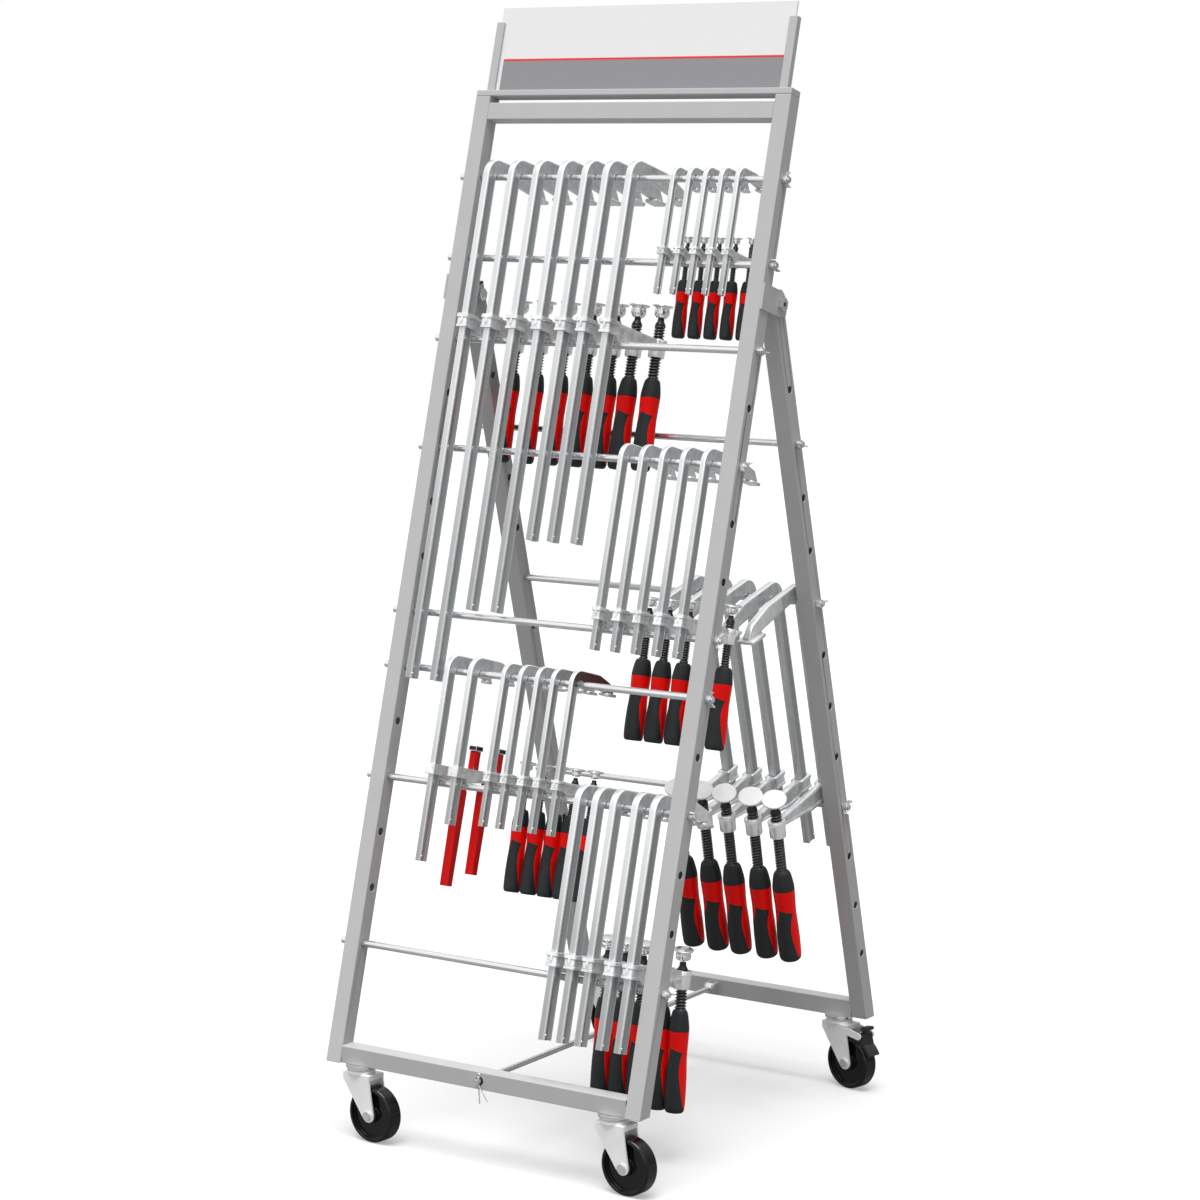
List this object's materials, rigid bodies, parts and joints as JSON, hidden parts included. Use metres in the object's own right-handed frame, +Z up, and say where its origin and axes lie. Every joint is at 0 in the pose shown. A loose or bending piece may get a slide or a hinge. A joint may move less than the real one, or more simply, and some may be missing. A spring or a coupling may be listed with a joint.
{
  "type": "clamp cart",
  "caption": "Folding A-frame cart on casters with cross rods that hold bar clamps and a sign board on top.",
  "frame": {"origin": "middle of the floor area that the cart covers, on the floor", "axes": "+X along the cross rods towards the wing nuts, +Y from the front frame to the back frame, +Z up"},
  "size_m": [0.564, 0.6624, 1.5957],
  "materials": {
    "frame_paint": "satin grey powder coat",
    "sign_plastic": "light grey sheet",
    "zinc_fittings": "bright zinc",
    "caster_zinc": "bright zinc",
    "wheel_plastic": "glossy black",
    "black_plastic": "black",
    "clamp_steel": "bright zinc plated",
    "black_steel": "blackened",
    "handle_plastic": "red grip with black inlay"
  },
  "bodies": {
    "frame": {"front_left_post": "frame_paint", "front_right_post": "frame_paint", "front_top_rail": "frame_paint", "front_bottom_rail": "frame_paint", "sign_holder": "frame_paint", "sign_board": "sign_plastic", "hinge_brackets": "frame_paint", "hinge_bolts": "zinc_fittings", "front_rods": "zinc_fittings", "front_wing_nuts": "zinc_fittings", "front_caster_heads": "caster_zinc", "row_1_rails": "clamp_steel", "row_2_rails": "clamp_steel", "row_3_rails": "clamp_steel", "row_4_rails": "clamp_steel", "row_5_rails": "clamp_steel"},
    "back_frame": {"back_left_post": "frame_paint", "back_right_post": "frame_paint", "back_bottom_rail": "frame_paint", "back_rods": "zinc_fittings", "back_wing_nuts": "zinc_fittings", "back_post_plugs": "black_plastic", "back_caster_heads": "caster_zinc", "row_6_rails": "clamp_steel"},
    "spreader": {"spreader_rod": "zinc_fittings", "spreader_clip": "zinc_fittings"},
    "front_left_caster": {"front_left_fork": "caster_zinc", "front_left_axle": "caster_zinc"},
    "front_left_roller": {"front_left_wheel": "wheel_plastic"},
    "front_right_caster": {"front_right_fork": "caster_zinc", "front_right_axle": "caster_zinc"},
    "front_right_roller": {"front_right_wheel": "wheel_plastic"},
    "back_left_caster": {"back_left_fork": "caster_zinc", "back_left_axle": "caster_zinc"},
    "back_left_roller": {"back_left_wheel": "wheel_plastic"},
    "back_left_brake_pedal": {"back_left_brake": "black_plastic"},
    "back_right_caster": {"back_right_fork": "caster_zinc", "back_right_axle": "caster_zinc"},
    "back_right_roller": {"back_right_wheel": "wheel_plastic"},
    "back_right_brake_pedal": {"back_right_brake": "black_plastic"},
    "row_1_slides": {"row_1_arms": "clamp_steel"},
    "row_1_screws": {"row_1_spindles": "black_steel", "row_1_handles": "handle_plastic"},
    "row_2_slides": {"row_2_arms": "clamp_steel"},
    "row_2_screws": {"row_2_spindles": "black_steel", "row_2_handles": "handle_plastic"},
    "row_3_slides": {"row_3_arms": "clamp_steel"},
    "row_3_screws": {"row_3_spindles": "black_steel", "row_3_handles": "handle_plastic"},
    "row_4_slides": {"row_4_arms": "clamp_steel"},
    "row_4_screws": {"row_4_spindles": "black_steel", "row_4_handles": "handle_plastic"},
    "row_5_slides": {"row_5_arms": "clamp_steel"},
    "row_5_screws": {"row_5_spindles": "black_steel", "row_5_handles": "handle_plastic"},
    "row_6_slides": {"row_6_arms": "clamp_steel"},
    "row_6_screws": {"row_6_spindles": "black_steel", "row_6_handles": "handle_plastic"},
    "lever_slides": {"lever_arms": "clamp_steel"},
    "levers": {"lever_handles": "handle_plastic"}
  },
  "joints": [
    {"name": "fold", "type": "hinge", "parent": "frame", "child": "back_frame", "pos_m": [-0.00501, 0.01992, 1.18155], "axis": [1, 0, 0], "range_deg": [-1, 0]},
    {"name": "spreader_pivot", "type": "hinge", "parent": "back_frame", "child": "spreader", "pos_m": [-0.00501, 0.2877, 0.1205], "axis": [1, 0, 0], "range_deg": [0, 0.6]},
    {"name": "front_left_swivel", "type": "hinge", "parent": "frame", "child": "front_left_caster", "pos_m": [-0.21901, -0.30874, 0.102], "axis": [0, 0, 1], "continuous": true},
    {"name": "front_left_roll", "type": "hinge", "parent": "front_left_caster", "child": "front_left_roller", "pos_m": [-0.19311, -0.31101, 0.04], "axis": [0.0872, 0.9962, 0], "continuous": true},
    {"name": "front_right_swivel", "type": "hinge", "parent": "frame", "child": "front_right_caster", "pos_m": [0.20899, -0.30874, 0.102], "axis": [0, 0, 1], "continuous": true},
    {"name": "front_right_roll", "type": "hinge", "parent": "front_right_caster", "child": "front_right_roller", "pos_m": [0.23489, -0.31101, 0.04], "axis": [0.0872, 0.9962, 0], "continuous": true},
    {"name": "back_left_swivel", "type": "hinge", "parent": "back_frame", "child": "back_left_caster", "pos_m": [-0.21901, 0.3092, 0.102], "axis": [0, 0, 1], "continuous": true},
    {"name": "back_left_roll", "type": "hinge", "parent": "back_left_caster", "child": "back_left_roller", "pos_m": [-0.19333, 0.30513, 0.04], "axis": [0.1564, 0.9877, 0], "continuous": true},
    {"name": "back_left_brake", "type": "hinge", "parent": "back_left_caster", "child": "back_left_brake_pedal", "pos_m": [-0.16765, 0.30106, 0.08503], "axis": [0.1564, 0.9877, 0], "range_deg": [0, 8]},
    {"name": "back_right_swivel", "type": "hinge", "parent": "back_frame", "child": "back_right_caster", "pos_m": [0.20899, 0.3092, 0.102], "axis": [0, 0, 1], "continuous": true},
    {"name": "back_right_roll", "type": "hinge", "parent": "back_right_caster", "child": "back_right_roller", "pos_m": [0.23422, 0.30291, 0.04], "axis": [0.2419, 0.9703, 0], "continuous": true},
    {"name": "back_right_brake", "type": "hinge", "parent": "back_right_caster", "child": "back_right_brake_pedal", "pos_m": [0.25944, 0.29662, 0.08503], "axis": [0.2419, 0.9703, 0], "range_deg": [0, 8]},
    {"name": "row_1_slide", "type": "slide", "parent": "frame", "child": "row_1_slides", "axis": [0, 0.263, 0.9648], "range_m": [0, 0.05]},
    {"name": "row_1_screw", "type": "slide", "parent": "row_1_slides", "child": "row_1_screws", "axis": [0, 0.2462, 0.9692], "range_m": [-0.035, 0.025]},
    {"name": "row_2_slide", "type": "slide", "parent": "frame", "child": "row_2_slides", "axis": [0, 0.263, 0.9648], "range_m": [0, 0.035]},
    {"name": "row_2_screw", "type": "slide", "parent": "row_2_slides", "child": "row_2_screws", "axis": [0, 0.1951, 0.9808], "range_m": [-0.018, 0.018]},
    {"name": "row_3_slide", "type": "slide", "parent": "frame", "child": "row_3_slides", "axis": [0, 0.263, 0.9648], "range_m": [0, 0.025]},
    {"name": "row_3_screw", "type": "slide", "parent": "row_3_slides", "child": "row_3_screws", "axis": [0, 0.2292, 0.9734], "range_m": [-0.022, 0.012]},
    {"name": "row_4_slide", "type": "slide", "parent": "frame", "child": "row_4_slides", "axis": [0, 0.263, 0.9648], "range_m": [0, 0.06]},
    {"name": "row_4_screw", "type": "slide", "parent": "row_4_slides", "child": "row_4_screws", "axis": [0, 0.2292, 0.9734], "range_m": [-0.014, 0.019]},
    {"name": "row_5_slide", "type": "slide", "parent": "frame", "child": "row_5_slides", "axis": [0, 0.263, 0.9648], "range_m": [0, 0.1]},
    {"name": "row_5_screw", "type": "slide", "parent": "row_5_slides", "child": "row_5_screws", "axis": [0, 0.1002, 0.995], "range_m": [-0.02, 0.024]},
    {"name": "row_6_slide", "type": "slide", "parent": "back_frame", "child": "row_6_slides", "axis": [0, -0.263, 0.9648], "range_m": [0, 0.1]},
    {"name": "row_6_screw", "type": "slide", "parent": "row_6_slides", "child": "row_6_screws", "axis": [0, -0.2122, 0.9772], "range_m": [-0.028, 0.035]},
    {"name": "lever_slide", "type": "slide", "parent": "frame", "child": "lever_slides", "axis": [0, 0.263, 0.9648], "range_m": [0, 0.06]},
    {"name": "lever_turn", "type": "hinge", "parent": "lever_slides", "child": "levers", "pos_m": [-0.00501, -0.14696, 0.50412], "axis": [1, 0, 0], "range_deg": [0, 60]}
  ],
  "couplings": [
    {"joint": "spreader_pivot", "follows": "fold", "ratio": -0.5527}
  ]
}
